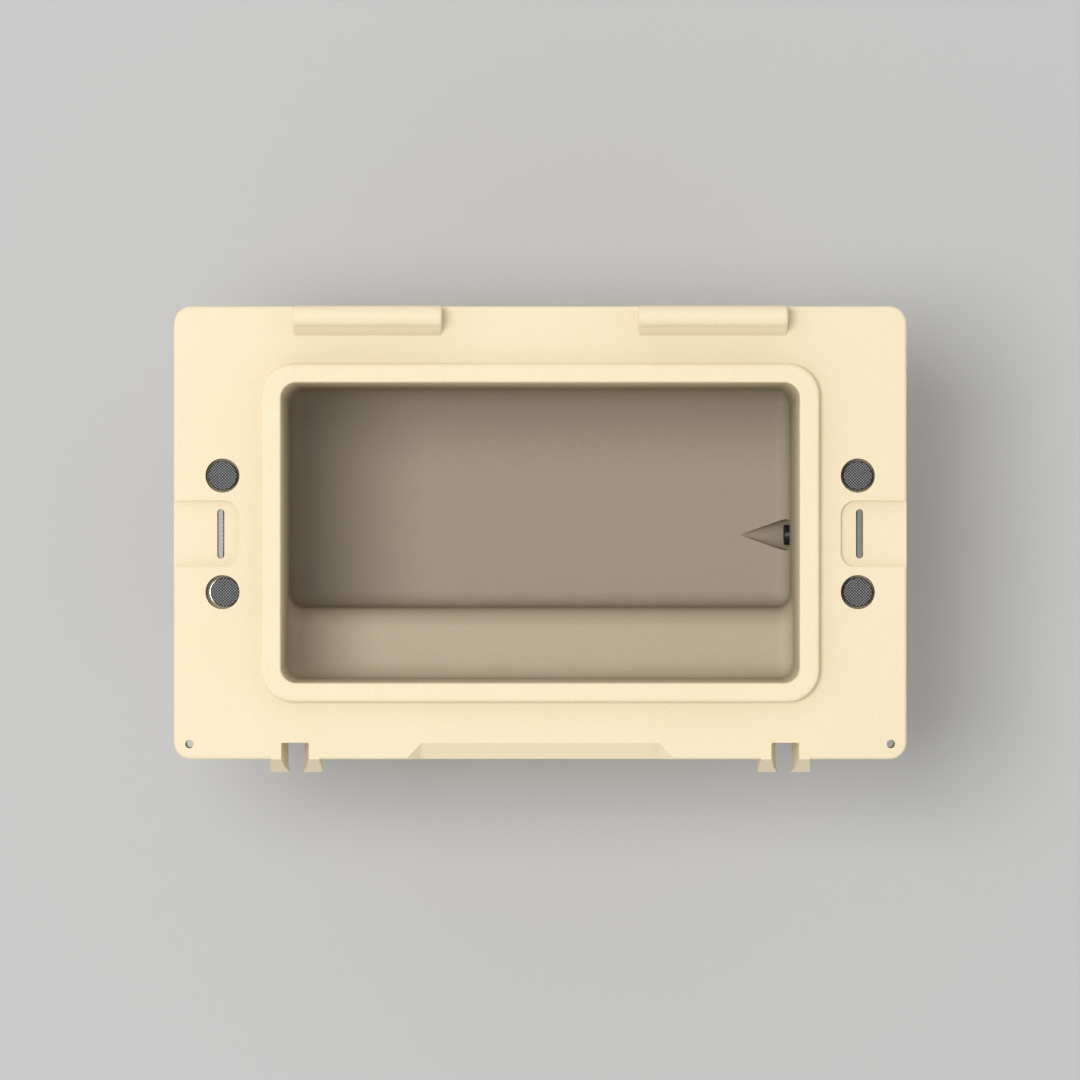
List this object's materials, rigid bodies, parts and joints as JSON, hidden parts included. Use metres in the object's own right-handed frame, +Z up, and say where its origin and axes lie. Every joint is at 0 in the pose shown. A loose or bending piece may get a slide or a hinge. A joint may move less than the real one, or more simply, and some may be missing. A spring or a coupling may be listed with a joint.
{
  "type": "ice chest base",
  "caption": "Base of a rigid insulated ice chest with a foamed double wall, raised gasket rim, hinge knuckles, latch keepers, rope handles and a screw-capped drain.",
  "frame": {"origin": "centre of the whole part's outline on the floor, under its four feet", "axes": "+X to the drain's end, +Y to the hinges, +Z up"},
  "size_m": [0.673, 0.429, 0.36],
  "materials": {
    "shell": "matte",
    "foam": "matte",
    "plug": "satin",
    "rope": "matte",
    "grip": "matte",
    "rope_stop": "matte",
    "drain_plastic": "satin",
    "black_rubber": "matte",
    "stainless": "satin",
    "brass": "satin"
  },
  "bodies": {
    "body": {"body_shell": "shell", "foam_core": "foam", "foam_plug_front": "plug", "foam_plug_rear": "plug", "drain_gasket": "black_rubber", "drain_spout": "drain_plastic", "drain_screws": "stainless", "foot_screws": "stainless", "foot_inserts": "brass", "rope_ends_left": "rope", "rope_stop_front_left": "rope_stop", "rope_washer_front_left": "stainless", "foot_front_left": "black_rubber", "rope_stop_rear_left": "rope_stop", "rope_washer_rear_left": "stainless", "foot_rear_left": "black_rubber", "rope_ends_right": "rope", "rope_stop_front_right": "rope_stop", "rope_washer_front_right": "stainless", "foot_front_right": "black_rubber", "rope_stop_rear_right": "rope_stop", "rope_washer_rear_right": "stainless", "foot_rear_right": "black_rubber"},
    "handle_left": {"rope_loop_left": "rope", "grip_left": "grip"},
    "handle_right": {"rope_loop_right": "rope", "grip_right": "grip"},
    "drain_cap_carrier": {"drain_cap_washer": "black_rubber"},
    "drain_cap": {"drain_cap": "drain_plastic"}
  },
  "joints": [
    {"name": "handle_left_swing", "type": "hinge", "parent": "body", "child": "handle_left", "pos_m": [-0.2917, 0.0055, 0.2954], "axis": [0, 1, 0], "range_deg": [0, 85]},
    {"name": "handle_right_swing", "type": "hinge", "parent": "body", "child": "handle_right", "pos_m": [0.2917, 0.0055, 0.2954], "axis": [0, -1, 0], "range_deg": [0, 85]},
    {"name": "drain_cap_travel", "type": "slide", "parent": "body", "child": "drain_cap_carrier", "axis": [1, 0, 0], "range_m": [0, 0.0089]},
    {"name": "drain_cap_turn", "type": "hinge", "parent": "drain_cap_carrier", "child": "drain_cap", "pos_m": [0.2818, 0.0045, 0.056], "axis": [1, 0, 0], "range_deg": [0, 1440]}
  ],
  "couplings": [
    {"joint": "drain_cap_travel", "follows": "drain_cap_turn", "m_per_rad": 0.00035157}
  ]
}
